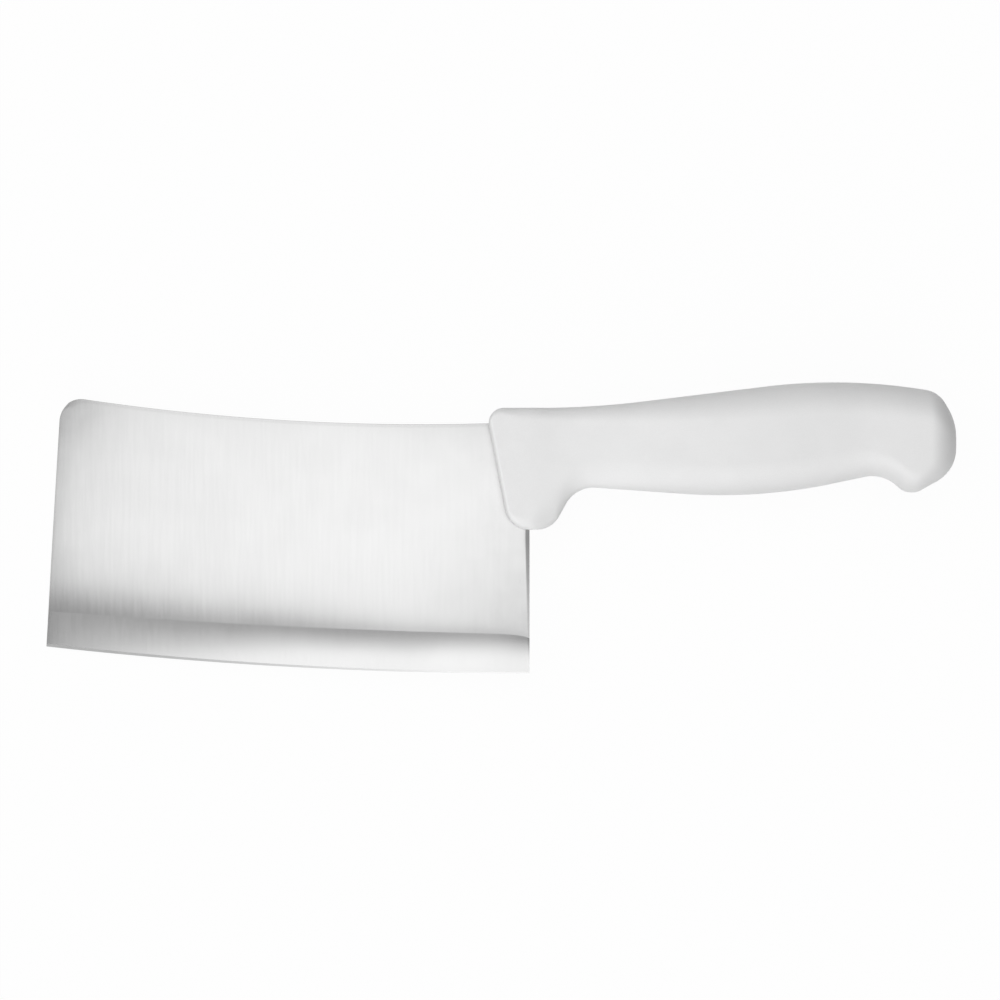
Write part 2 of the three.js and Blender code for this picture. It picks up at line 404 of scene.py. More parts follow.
class SurfaceGroup:
    """A shader node group with named sockets, built once and placed in each finish that needs it."""

    name: str
    inputs: Mapping[str, str]
    outputs: Mapping[str, str]

    def __init__(self) -> None:
        """Makes the group's sockets and draws the nodes between them."""
        self.tree = bpy.data.node_groups.new(self.name, "ShaderNodeTree")
        for end, sockets in (("INPUT", self.inputs), ("OUTPUT", self.outputs)):
            for label, kind in sockets.items():
                self.tree.interface.new_socket(label, in_out=end, socket_type=kind)
        self.board = NodeBoard(self.tree)
        self.source = self.board.add("NodeGroupInput").outputs
        self.board.add("NodeGroupOutput", self.draw())

    def draw(self) -> dict[str, Socket]:
        """Draws the effect's nodes, and gives what each output shows."""
        raise NotImplementedError

    def place(self, board: NodeBoard, inputs: Mapping[str, object]) -> bpy.types.bpy_prop_collection:
        """Places the group on a finish's board, and gives the placed group's outputs."""
        return board.add("ShaderNodeGroup", inputs, node_tree=self.tree).outputs


class BrushLines(SurfaceGroup):
    """The fine parallel scratches of a belt, with broader streaks between passes."""

    name = "brush_lines"
    inputs = {"Vector": VECTOR, "Lines": VECTOR, "Streaks": VECTOR}
    outputs = {"Height": VALUE, "Streak": VALUE}

    def draw(self) -> dict[str, Socket]:
        """Stretches two noises along the belt's run.

        Returns:
            The scratches' height, and the streaks.
        """
        board, source = self.board, self.source
        lines = board.vector("MULTIPLY", source["Vector"], source["Lines"])
        streaks = board.vector("MULTIPLY", source["Vector"], source["Streaks"])
        return {
            "Height": board.noise(lines, scale=1.0, detail=4.0, roughness=0.6),
            "Streak": board.noise(streaks, scale=1.0, detail=3.0, roughness=0.6),
        }


class HandlingMarks(SurfaceGroup):
    """Faint clouding where a surface was touched and wiped."""

    name = "handling_marks"
    inputs = {"Vector": VECTOR, "Patches": VALUE}
    outputs = {"Cloud": VALUE}
    finer = 3.7
    cloud_span = (0.14, 0.4)

    def draw(self) -> dict[str, Socket]:
        """Layers a broad and a small noise into one mask.

        Returns:
            The mask.
        """
        board, source = self.board, self.source
        broad = board.noise(source["Vector"], source["Patches"], detail=2.0, distortion=0.6)
        small = board.noise(source["Vector"], board.times(source["Patches"], self.finer), detail=3.0)
        return {"Cloud": board.ranged(board.times(broad, small), self.cloud_span, (0.0, 1.0))}


class BeltWaver(SurfaceGroup):
    """The slight tilt that each pass of a belt leaves in a ground face."""

    name = "belt_waver"
    inputs = {"Vector": VECTOR, "Normal": VECTOR, "Streaks": VECTOR}
    inputs |= {"Lean": VALUE, "Swells": VALUE, "Sway": VALUE}
    outputs = {"Normal": VECTOR}
    noise_middle = 0.5

    def draw(self) -> dict[str, Socket]:
        """Leans the normal along the belt's run by a streaky and a broad noise.

        Returns:
            The leaned normal.
        """
        board, source = self.board, self.source
        run = board.vector("MULTIPLY", source["Vector"], source["Streaks"])
        noises = {
            "Lean": board.noise(run, scale=1.0, detail=3.0, roughness=0.6),
            "Sway": board.noise(source["Vector"], source["Swells"], detail=2.0),
        }
        swings = {name: board.plus(noise, -self.noise_middle) for name, noise in noises.items()}
        tilts = (board.times(swing, source[name]) for name, swing in swings.items())
        tilt = board.add("ShaderNodeCombineXYZ", {"Y": board.plus(*tilts)}).outputs["Vector"]
        turns = {"vector_type": "VECTOR", "convert_from": "OBJECT", "convert_to": "WORLD"}
        turned = board.add("ShaderNodeVectorTransform", (tilt,), **turns).outputs["Vector"]
        return {"Normal": board.vector("NORMALIZE", board.vector("ADD", source["Normal"], turned))}


class PaintedShadePatch(SurfaceGroup):
    """A painted shade mask for a place on the steel, fading out round its middle."""

    name = "painted_shade_patch"
    inputs = {"Vector": VECTOR, "Centre": VECTOR, "Reach": VECTOR}
    outputs = {"Patch": VALUE}
    fall_off = 1.5
    clouds = 150.0
    cloud_span = (0.25, 0.75)
    cloud_shares = (0.9, 1.1)

    def draw(self) -> dict[str, Socket]:
        """Fades a cloudy mask with the distance from its centre, measured in reaches.

        Returns:
            The mask.
        """
        board, source = self.board, self.source
        away = board.vector("SUBTRACT", source["Vector"], source["Centre"])
        reaches = board.vector("DIVIDE", away, source["Reach"])
        share = board.add("ShaderNodeVectorMath", (reaches,), operation="LENGTH").outputs["Value"]
        fade = board.sum("POWER", math.e, board.times(board.sum("POWER", share, self.fall_off), -1.0))
        cloud = board.noise(source["Vector"], self.clouds, detail=3.0)
        return {"Patch": board.times(fade, board.ranged(cloud, self.cloud_span, self.cloud_shares))}


class MouldGrain(SurfaceGroup):
    """The spark-eroded texture that a mould leaves on plastic."""

    name = "mould_grain"
    inputs = {"Vector": VECTOR, "Grains": VALUE, "Ripples": VALUE}
    outputs = {"Height": VALUE, "Grain": VALUE}
    ripple_height = 4.0

    def draw(self) -> dict[str, Socket]:
        """Sums a fine grain and a slow ripple of shrinkage.

        Returns:
            The surface's height, and the grain alone.
        """
        board, source = self.board, self.source
        grain = board.noise(source["Vector"], source["Grains"], detail=3.0, roughness=0.55)
        ripple = board.noise(source["Vector"], source["Ripples"], detail=1.0)
        return {"Height": board.plus(grain, board.times(ripple, self.ripple_height)), "Grain": grain}


@dataclass
class SurfaceEffects:
    """The effects that the finishes share."""

    brush: BrushLines = field(default_factory=BrushLines)
    waver: BeltWaver = field(default_factory=BeltWaver)
    patch: PaintedShadePatch = field(default_factory=PaintedShadePatch)
    marks: HandlingMarks = field(default_factory=HandlingMarks)
    grain: MouldGrain = field(default_factory=MouldGrain)


# The finishes.


@dataclass(frozen=True)
class PaintedShadeSpot:
    """A spot of painted shade on both sides of the plate, and the share of its tone that the painted shade
    takes off.
    """

    centre: Vector
    reach: Pair
    loss: float
    depth: float = 1.0


@dataclass(frozen=True)
class GroundSteel:
    """Stainless steel with a belt's lines in one direction, freshest towards the tip, and spots of painted
    shade.
    """

    name: str
    tone: float
    line_depth: float
    lines: Triple
    streaks: Triple
    streak_roughness: float
    roughness: float = 0.17
    spread_across: float = 0.95
    painted_shade: tuple[PaintedShadeSpot, ...] = ()
    lean: float = 0.0024
    sway: float = 0.009
    swells: float = 45.0
    streak_tone: float = 0.025
    cloud_tone: float = 0.015
    cloud_roughness: float = 0.006
    patches: float = 22.0
    fresh_span: Pair = (-0.14, 0.01)
    fresh_shares: Pair = (1.0, 0.4)

    def make(self, effects: SurfaceEffects) -> bpy.types.Material:
        """Builds the material.

        Args:
            effects: The shared surface effects.

        Returns:
            The steel.
        """
        material = bpy.data.materials.new(self.name)
        board = empty_board(material)
        place = board.add("ShaderNodeTexCoord").outputs["Object"]
        brush = effects.brush.place(board, {"Vector": place, "Lines": self.lines, "Streaks": self.streaks})
        cloud = effects.marks.place(board, {"Vector": place, "Patches": self.patches})["Cloud"]
        fresh = board.ranged(board.parts(place)["X"], self.fresh_span, self.fresh_shares)
        streak = board.times(board.ranged(brush["Streak"], NOISE_SPAN, (-1.0, 1.0)), fresh)
        shade = board.plus(board.times(streak, self.streak_tone), board.times(cloud, -self.cloud_tone))
        # Painted shade: each spot darkens the steel's tone round its centre.
        for spot in self.painted_shade:
            where = {"Vector": place, "Centre": spot.centre, "Reach": (*spot.reach, spot.depth)}
            shade = board.plus(shade, board.times(effects.patch.place(board, where)["Patch"], -spot.loss))
        rough = board.plus(board.times(streak, self.streak_roughness), self.roughness)
        belt = {
            "Vector": place,
            "Normal": board.add("ShaderNodeNewGeometry").outputs["Normal"],
            "Streaks": self.streaks,
            "Lean": board.times(fresh, self.lean),
            "Swells": self.swells,
            "Sway": self.sway,
        }
        scratches = {
            "Strength": 1.0,
            "Distance": self.line_depth,
            "Height": brush["Height"],
            "Normal": effects.waver.place(board, belt)["Normal"],
        }
        steel = {
            "Base Color": board.grey(board.times(board.plus(shade, 1.0), self.tone)),
            "Metallic": 1.0,
            "Roughness": board.plus(rough, board.times(cloud, self.cloud_roughness)),
            "Anisotropic": self.spread_across,
            "Normal": board.add("ShaderNodeBump", scratches).outputs["Normal"],
        }
        if self.spread_across:
            tangent = board.add("ShaderNodeTangent", direction_type="UV_MAP", uv_map=BRUSH_MAP)
            steel["Tangent"] = tangent.outputs["Tangent"]
        surface = board.add("ShaderNodeBsdfPrincipled", steel).outputs["BSDF"]
        board.add("ShaderNodeOutputMaterial", {"Surface": surface})
        return material


@dataclass(frozen=True)
class WhitePolypropylene:
    """White injection-moulded plastic with a satin grain, with a painted falloff of light that darkens it
    towards the butt.
    """

    name: str = "white_polypropylene"
    tone: float = 0.91
    roughness: float = 0.46
    refraction: float = 1.49
    grain_depth: float = 0.000012
    grain_tone: float = 0.012
    grains: float = 2600.0
    ripples: float = 55.0
    patches: float = 30.0
    cloud_tone: float = 0.018
    cloud_roughness: float = 0.06
    # The painted falloff of light: the tone is lighter at the collar and darker at the butt.
    painted_falloff_span: Pair = (0.0, 0.150)
    painted_falloff_tones: Pair = (1.032, 0.968)

    def make(self, effects: SurfaceEffects) -> bpy.types.Material:
        """Builds the material.

        Args:
            effects: The shared surface effects.

        Returns:
            The plastic.
        """
        material = bpy.data.materials.new(self.name)
        board = empty_board(material)
        place = board.add("ShaderNodeTexCoord").outputs["Object"]
        grain = effects.grain.place(board, {"Vector": place, "Grains": self.grains, "Ripples": self.ripples})
        cloud = effects.marks.place(board, {"Vector": place, "Patches": self.patches})["Cloud"]
        speckle = board.ranged(grain["Grain"], NOISE_SPAN, (-self.grain_tone, self.grain_tone))
        shade = board.plus(board.plus(board.times(cloud, -self.cloud_tone), 1.0), speckle)
        # Painted falloff of light, darker from the collar to the butt.
        painted_falloff = board.ranged(board.parts(place)["X"], self.painted_falloff_span, self.painted_falloff_tones)
        texture = {"Strength": 1.0, "Distance": self.grain_depth, "Height": grain["Height"]}
        plastic = {
            "Base Color": board.grey(board.times(board.times(shade, painted_falloff), self.tone)),
            "Roughness": board.plus(board.times(cloud, self.cloud_roughness), self.roughness),
            "IOR": self.refraction,
            "Normal": board.add("ShaderNodeBump", texture).outputs["Normal"],
        }
        surface = board.add("ShaderNodeBsdfPrincipled", plastic).outputs["BSDF"]
        board.add("ShaderNodeOutputMaterial", {"Surface": surface})
        return material


# The pieces.


@dataclass
class Blade:
    """The steel plate: hollow spine, leaning tip, curved edge with its bevel, and the tang in the handle.

    A pair is a size at the heel and at the tip, but a fall's pair is its width and its depth, and the heel
    chamfer's pairs run from its lower to its upper end.
    """

    # The outline, and the plate.
    length: float = 0.1524
    spine_height: float = 0.0786
    spine_radius: float = 0.714
    spine_low: float = 0.0345
    edge_radius: float = 1.365
    tip_lean: float = math.radians(3.4)
    tip_corner: float = 0.0080
    thickness: float = 0.0035
    # The broken rims, and the surface's fall towards them.
    ease: float = 0.0002
    heel_chamfer: float = 0.0014
    heel_slope: float = math.tan(math.radians(15))
    heel_chamfer_ends: Pair = (0.004, 0.042)
    heel_chamfer_shares: Pair = (0.35, 1.0)
    heel_slope_shares: Pair = (0.5, 1.0)
    spine_fall: Pair = (0.009, 0.00004)
    tip_fall: Pair = (0.007, 0.00010)
    heel_fall: Pair = (0.018, 0.00015)
    # The taper, the grind line, the roll-off above it, and the bevel with its sharpened edge.
    taper_height: float = 0.046
    taper_loss: float = 0.00035
    grind_at_tip: float = 0.0112
    grind_bow: float = 0.0017
    grind_middle: float = 0.055
    grind_dip: float = 0.0012
    grind_dip_run: float = 0.003
    roll_slopes: Pair = (0.009, 0.033)
    roll_slope_power: float = 1.3
    roll_runs: Pair = (0.003, 0.040)
    roll_run_power: float = 1.15
    roll_band: float = 0.020
    crowns: Pair = (0.000082, 0.0)
    crown_start: float = 0.4
    sharpen_heights: Pair = (0.0005, 0.0009)
    sharpen_halves: Pair = (0.00037, 0.00033)
    edge_half: float = 0.00008
    # The tang.
    tang_length: float = 0.1036
    tang_root: float = 0.015
    tang_end: float = 0.012
    tang_rise: float = math.radians(2.0)
    tang_slack: float = 0.0006
    # The spine's painted shade before the collar, the limits that sort the faces, the brush map and the
    # grid.
    nape_ahead: float = 0.012
    facing_back: float = 0.9
    facing_up: float = 0.75
    brush_scale: float = 10.0
    column_steps: tuple[int, int, int] = (10, 112, 7)

    def edge_at(self, x: float) -> float:
        """The cutting edge's height at an x."""
        return sag(self.edge_radius, x)

    def spine_at(self, x: float) -> float:
        """The spine's height at an x."""
        return self.spine_height + sag(self.spine_radius, x + self.spine_low)

    def tip_at(self, y: float) -> float:
        """The x of the leaning tip at a height."""
        return -self.length + (y - self.edge_at(-self.length)) * math.tan(self.tip_lean)

    def grind_at(self, x: float) -> float:
        """The grind line's height above the edge, which bows and dips at the heel."""
        bow = 1.0 - ((x + self.grind_middle) / (self.length - self.grind_middle)) ** 2
        return self.grind_at_tip + self.grind_bow * bow - self.grind_dip * math.exp(x / self.grind_dip_run)

    def sharpen_at(self, x: float) -> float:
        """The height of the sharpened facet, which widens towards the tip."""
        return lerp(*self.sharpen_heights, -x / self.length)

    def shoulder_half(self, x: float, above: float) -> float:
        """Half the plate's thickness above the grind line.

        Args:
            x: The place along the blade.
            above: The height above the cutting edge.

        Returns:
            Half the thickness there, after the slow taper and the roll-off into the bevel.
        """
        line, share = self.grind_at(x), -x / self.length
        taper = max(0.0, (self.taper_height - above) / (self.taper_height - line))
        run = lerp(*self.roll_runs, share**self.roll_run_power)
        slope = lerp(*self.roll_slopes, share**self.roll_slope_power)
        roll = max(0.0, line + run - above)
        return self.thickness / 2 - self.taper_loss * taper**2 - slope * roll**3 / (3 * run**2)

    def ground_half(self, x: float, above: float) -> float:
        """Half the ground thickness at a height above the cutting edge.

        Args:
            x: The place along the blade.
            above: The height above the cutting edge.

        Returns:
            Half the thickness there.
        """
        line, along = self.grind_at(x), -x / self.length
        if above >= line:
            return self.shoulder_half(x, above)
        sharp, shoulder = self.sharpen_at(x), lerp(*self.sharpen_halves, along)
        if above <= sharp:
            return lerp(self.edge_half, shoulder, above / sharp)
        share = (above - sharp) / (line - sharp)
        crown = lerp(*self.crowns, max(0.0, (along - self.crown_start) / (1 - self.crown_start)))
        return lerp(shoulder, self.shoulder_half(x, line), share) + 4 * crown * share * (1 - share)

    def rim_fall(self, x: float, y: float) -> float:
        """Finds how far the stamping pulled the plate's surface down near its rim.

        Args:
            x: The place along the plate.
            y: The place across it.

        Returns:
            The depth lost there, towards the spine, the tip and the heel.
        """
        falls = (
            (self.spine_at(x) - y, self.spine_fall),
            (x - self.tip_at(y), self.tip_fall),
            (-x, self.heel_fall),
        )
        return sum(depth * max(0.0, 1 - distance / width) ** 3 for distance, (width, depth) in falls)

    def rim_distance(self, x: float, y: float) -> float:
        """Finds how far a place lies inside the tip and the spine.

        Args:
            x: The place along the plate.
            y: The place across it.

        Returns:
            The distance to the nearer of the two, measured round their corner.
        """
        from_tip, from_spine = x - self.tip_at(y), self.spine_at(x) - y
        across, up = self.tip_corner - from_tip, self.tip_corner - from_spine
        if across > 0 and up > 0:
            return self.tip_corner - math.hypot(across, up)
        return min(from_tip, from_spine)

    def broken_heel(self, x: float, y: float) -> float:
        """Finds the depth of the chamfer at the free heel, which runs out towards the cutting edge.

        Args:
            x: The place along the plate.
            y: The place across it.

        Returns:
            The depth taken off the surface, 0 inside the chamfer and beside the tang.
        """
        if y > self.spine_at(0) - self.tang_root:
            return 0.0
        start, end = self.heel_chamfer_ends
        share = min(max((y - start) / (end - start), 0.0), 1.0)
        width = self.heel_chamfer * lerp(*self.heel_chamfer_shares, share)
        return max(0.0, self.heel_slope * lerp(*self.heel_slope_shares, share) * (width + x))

    def broken_rim(self, x: float, y: float) -> float:
        """The depth that the eased rim or the broken heel takes off the surface at a place."""
        eased = self.ease * (1 - rounded(self.rim_distance(x, y), self.ease))
        return max(eased, self.broken_heel(x, y))

    def columns(self) -> list[float]:
        """Spaces the grid's columns, closest at the two ends.

        Returns:
            Their distances from the tip.
        """
        columns = [self.ease * share for share in EASE_SHARES[:-1]]
        stops = (self.ease, self.tip_corner, self.length - self.heel_chamfer, self.length)
        for start, end, steps in zip(stops, stops[1:], self.column_steps):
            columns += spread(start, end, steps)
        return columns + [self.length]

    def rows(self) -> list[tuple[Band, float]]:
        """Lists the grid's rows from the edge to the spine, each as its band and a share of the way up."""
        rows = [(band, share) for band, steps in BAND_STEPS.items() for share in spread(0.0, 1.0, steps)]
        return rows + [(Band.EASED, 1.0 - share) for share in reversed(EASE_SHARES)]

    def row_height(self, row: tuple[Band, float], x: float) -> float:
        """Finds a row's height.

        Args:
            row: The row's band, and its share of the way up it.
            x: The place along the blade.

        Returns:
            The y of the row there.
        """
        band, share = row
        edge, spine = self.edge_at(x), self.spine_at(x)
        line = edge + self.grind_at(x)
        ground = (edge, edge + self.sharpen_at(x), line, line + self.roll_band, edge + self.taper_height)
        levels = (*ground, spine - self.tip_corner, spine - self.ease, spine)
        return lerp(levels[band], levels[band + 1], share)

    def round_corner(self, x: float, y: float) -> Pair:
        """Draws the grid's square corner between tip and spine in to a round one, whose rings stay parallel.

        Args:
            x: The crossing's x.
            y: The crossing's y.

        Returns:
            The x and y on the rounded grid.
        """
        tip, spine, radius = self.tip_at(y), self.spine_at(x), self.tip_corner
        across, up = radius - (x - tip), radius - (spine - y)
        if across <= 0 or up <= 0:
            return x, y
        ring = max(across, up)
        turned = math.pi / 4 * (across / up if up > across else 2 - up / across)
        return tip + radius - ring * math.sin(turned), spine - radius + ring * math.cos(turned)

    def crossing(self, column: float, row: tuple[Band, float]) -> Triple:
        """Places one crossing of the grid.

        Args:
            column: The column's distance from the tip.
            row: The row's band, and its share of the way up it.

        Returns:
            The crossing's x, y and half thickness.
        """
        x = lerp(self.tip_at(self.row_height(row, -self.length)), 0.0, column / self.length)
        x, y = self.round_corner(x, self.row_height(row, x))
        ground = self.ground_half(x, y - self.edge_at(x))
        lost = self.broken_rim(x, y) + self.rim_fall(x, y)
        return x, y, ground - lost * min(1.0, 2 * ground / self.thickness)

    def draw_tang(self, bm: bmesh.types.BMesh) -> None:
        """Draws the tang out of the heel's upper rim, narrowing and rising towards its end.

        Args:
            bm: The plate's shell.
        """
        high = plate_origin().y + self.spine_at(0)
        low = high - self.tang_root
        heel = [face for face in bm.faces if face.normal.x > self.facing_back]
        root = [face for face in heel if low - self.tang_slack < face.calc_center_median().y < high]
        verts = draw_out(bm, root)
        bmesh.ops.delete(bm, geom=[face for face in root if face.is_valid], context="FACES_ONLY")
        centre = (high + low) / 2
        for vert in verts:
            vert.co.y = centre + (vert.co.y - centre) * self.tang_end / self.tang_root
        rise = self.tang_length * math.sin(self.tang_rise)
        bmesh.ops.translate(bm, verts=verts, vec=(self.tang_length, rise, 0.0))
        bmesh.ops.recalc_face_normals(bm, faces=bm.faces)

    def mark_zones(self, bm: bmesh.types.BMesh) -> None:
        """Sorts the faces into the blade's zones, creases the lines between them and lays the brush map.

        Args:
            bm: The plate's shell.
        """
        origin = plate_origin()
        brush = bm.loops.layers.uv.new(BRUSH_MAP)
        for face in bm.faces:
            face.smooth = True
            place = face.calc_center_median() - origin
            x = min(place.x, 0.0)
            above = place.y - self.edge_at(x)
            if abs(face.normal.z) < self.facing_up:
                zone = BladeZone.RIM
            elif above < self.sharpen_at(x):
                zone = BladeZone.SHARPENED
            elif above < self.grind_at(x):
                zone = BladeZone.BEVEL
            else:
                zone = BladeZone.FLAT
            face.material_index = zone
            for loop in face.loops:
                loop[brush].uv = loop.vert.co.xy * self.brush_scale
        for edge in bm.edges:
            edge.smooth = len({face.material_index for face in edge.link_faces}) == 1

    def build(self) -> bpy.types.Object:
        """Shapes the plate and draws out its tang.

        Returns:
            The blade, still undressed.
        """
        bm = two_sided_shell(self.columns(), self.rows(), self.crossing)
        self.draw_tang(bm)
        self.mark_zones(bm)
        piece = finished_piece("ground_blade", bm)
        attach(piece, "root")
        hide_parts("blade")
        return piece

    def painted_shade_spot(self, at: Pair, reach: Pair, loss: float) -> PaintedShadeSpot:
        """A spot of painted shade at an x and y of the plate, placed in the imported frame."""
        return PaintedShadeSpot(plate_origin() + Vector((*at, self.thickness / 2)), reach, loss)

    def steels(self) -> list[GroundSteel]:
        """Chooses the blade's steels, with their spots of painted shade.

        Returns:
            The flat's, the bevel's, the sharpened edge's and the rim's steel, in the order of BladeZone.
        """
        high, low = self.spine_at(-self.length), self.edge_at(-self.length)
        middle, nape = (high + low) / 2, -self.nape_ahead
        heel = (0.0, self.grind_at(0.0))
        flat = GroundSteel(
            name="satin_flat",
            tone=0.577,
            line_depth=0.0000012,
            lines=(2600.0, 18.0, 2600.0),
            streaks=(900.0, 55.0, 900.0),
            streak_roughness=0.008,
            # Painted shade: darker at the tip's upper corner, along the tip, at the heel and on the spine
            # before the collar.
            painted_shade=(
                self.painted_shade_spot((self.tip_at(high), high), reach=(0.018, 0.018), loss=0.33),
                self.painted_shade_spot((self.tip_at(middle), middle), reach=(0.010, 0.080), loss=0.13),
                self.painted_shade_spot(heel, reach=(0.020, 0.042), loss=0.21),
                self.painted_shade_spot((nape, self.spine_at(nape)), reach=(0.030, 0.009), loss=0.10),
            ),
        )
        bevel = GroundSteel(
            name="ground_bevel",
            tone=0.592,
            line_depth=0.0000008,
            lines=(5200.0, 90.0, 5200.0),
            streaks=(1400.0, 80.0, 1400.0),
            streak_roughness=0.006,
            # Painted shade: the bevel darker towards the heel.
            painted_shade=(
                self.painted_shade_spot(heel, reach=(0.012, 0.012), loss=0.08),
                self.painted_shade_spot(heel, reach=(0.012, 0.0015), loss=0.15),
            ),
            lean=0.0020,
        )
        sharpened = GroundSteel(
            name="sharpened_edge",
            tone=0.68,
            line_depth=0.000002,
            lines=(900.0, 9000.0, 900.0),
            streaks=(300.0, 300.0, 300.0),
            streak_roughness=0.02,
            roughness=0.32,
            spread_across=0.0,
            # Painted shade: the sharpened edge darker towards the tip.
            painted_shade=(self.painted_shade_spot((-self.length, low), reach=(0.075, 0.075), loss=0.26),),
        )
        rim = GroundSteel(
            name="ground_rim",
            tone=0.58,
            line_depth=0.000003,
            lines=(700.0, 700.0, 4200.0),
            streaks=(300.0, 300.0, 900.0),
            streak_roughness=0.04,
            roughness=0.3,
            spread_across=0.0,
        )
        return [flat, bevel, sharpened, rim]

    def dress(self, piece: bpy.types.Object, effects: SurfaceEffects) -> None:
        """Gives each zone of the blade its steel.

        Args:
            piece: The built blade.
            effects: The shared surface effects.
        """
        for steel in self.steels():
            piece.data.materials.append(steel.make(effects))


@dataclass
class Handle:
    """The white moulding: a collar over the blade, a guard lobe, a waist, a palm swell and a hooked butt."""

    # The outline: a corner's place back from the heel or ahead of the butt, its height and its radius.
    grip_length: float = 0.1346
    collar_top: float = 0.0837
    nose_reach: float = 0.0139
    nose_radius: float = 0.0048
    guard_depth: float = 0.0383
    guard_reach: float = 0.0064
    guard_toe_radius: float = 0.008
    guard_back: float = 0.007
    guard_back_radius: float = 0.0081
    notch_depth: float = 0.0246
    notch_back: float = 0.0145
    notch_radius: float = 0.01
    rise_back: float = 0.0191
    rise_radius: float = 0.274
    belly_depth: float = 0.0287
    belly_ahead: float = 0.0622
    belly_radius: float = 0.171
    crown_rise: float = 0.0098
    crown_ahead: float = 0.0361
    crown_radius: float = 0.178
    hollow_depth: float = 0.0204
    hollow_ahead: float = 0.0228
    hollow_radius: float = 0.0115
    hook_depth: float = 0.028
    hook_ahead: float = 0.0151
    hook_radius: float = 0.006
    shoulder_rise: float = 0.0052
    shoulder_ahead: float = 0.0058
    shoulder_radius: float = 0.0084
    butt_high_depth: float = 0.0043
    butt_high_radius: float = 0.0185
    butt_low_depth: float = 0.0197
    butt_low_radius: float = 0.012
    # The widths, and their places.
    collar_width: float = 0.018
    waist_width: float = 0.0172
    waist_back: float = 0.0096
    palm_width: float = 0.023
    palm_ahead: float = 0.063
    rear_width: float = 0.022
    rear_ahead: float = 0.034
    pommel_width: float = 0.024
    pommel_ahead: float = 0.014
    # The rims' roundings.
    collar_round: float = 0.004
    collar_round_depth: float = 0.0032
    nose_round: float = 0.0013
    guard_round: float = 0.010
    guard_round_depth: float = 0.0046
    grip_round: float = 0.010
    grip_round_back: float = 0.080
    hook_round: float = 0.007
    butt_round: float = 0.009
    parting_land: float = 0.0004
    # The grid.
    weld: float = 1e-7
    row_steps: int = 64
    section_steps: tuple[int, int, int] = (120, 70, 84)

    def __post_init__(self) -> None:
        """Works out how the widths, the side walls and the rims' roundings change along the handle."""
        butt = self.grip_length
        self.widths: Stops = (
            (0.0, self.collar_width),
            (self.waist_back, self.waist_width),
            (butt - self.palm_ahead, self.palm_width),
            (butt - self.rear_ahead, self.rear_width),
            (butt - self.pommel_ahead, self.pommel_width),
        )
        self.walls: Stops = (
            (0.0, self.collar_width / 2 - self.collar_round_depth),
            (self.guard_back, self.waist_width / 2 - self.guard_round_depth),
            (self.grip_round_back, self.parting_land / 2),
        )
        collar = ((-self.nose_reach, self.nose_round), (0.0, self.collar_round))
        grip, end = (self.grip_round_back, self.grip_round), (butt, self.butt_round)
        self.upper_rounds: Stops = (*collar, grip, (butt - self.pommel_ahead, self.grip_round), end)
        self.lower_rounds: Stops = (
            *collar,
            (self.guard_back, self.guard_round),
            grip,
            (butt - self.hollow_ahead - self.hollow_radius, self.grip_round),
            (butt - self.hollow_ahead, self.hook_round),
            (butt - self.hook_ahead, self.hook_round),
            end,
        )

    def outlines(self) -> tuple[Contour, Contour]:
        """Draws the lower and the upper outline.

        Returns:
            The outline under the hand and the one over it, both from the collar's front to the butt.
        """
        top, butt = self.collar_top, self.grip_length
        nose, toe = (-self.nose_reach, top), (-self.guard_reach, top - self.guard_depth)
        low, high = top - self.butt_low_depth, top - self.butt_high_depth
        front = ((nose[0] + toe[0]) / 2, (nose[1] + toe[1]) / 2, 0.0)
        back = (butt, (low + high) / 2, 0.0)
        under = [
            front,
            (*toe, self.guard_toe_radius),
            (self.guard_back, top - self.guard_depth, self.guard_back_radius),
            (self.notch_back, top - self.notch_depth, self.notch_radius),
            (butt - self.belly_ahead, top - self.belly_depth, self.belly_radius),
            (butt - self.hollow_ahead, top - self.hollow_depth, self.hollow_radius),
            (butt - self.hook_ahead, top - self.hook_depth, self.hook_radius),
            (butt, low, self.butt_low_radius),
            back,
        ]
        over = [
            front,
            (*nose, self.nose_radius),
            (self.rise_back, top, self.rise_radius),
            (butt - self.crown_ahead, top + self.crown_rise, self.crown_radius),
            (butt - self.shoulder_ahead, top + self.shoulder_rise, self.shoulder_radius),
            (butt, high, self.butt_high_radius),
            back,
        ]
        return Contour(under), Contour(over)

    def sections(self) -> list[tuple[Vector, Vector]]:
        """Pairs points of the two outlines in three zones.

        Returns:
            The lower and the upper end of each section, from the collar to the butt.
        """
        notch_end = self.notch_back + self.notch_radius
        hollow_start = self.grip_length - self.hollow_ahead - self.hollow_radius
        ends = []
        for outline in self.outlines():
            cuts = (outline.length_at(notch_end), outline.length_at(hollow_start))
            stops = (0.0, *cuts, outline.lengths[-1])
            points = []
            for start, end, steps in zip(stops, stops[1:], self.section_steps):
                points += [outline.at(length) for length in spread(start, end, steps)]
            ends.append([*points, outline.points[-1]])
        return list(zip(*ends))

    def rows(self) -> list[float]:
        """Spaces the grid's rows, closest at the rims, as shares of a section from its lower end."""
        return [(1 - math.cos(math.pi * row / self.row_steps)) / 2 for row in range(self.row_steps + 1)]

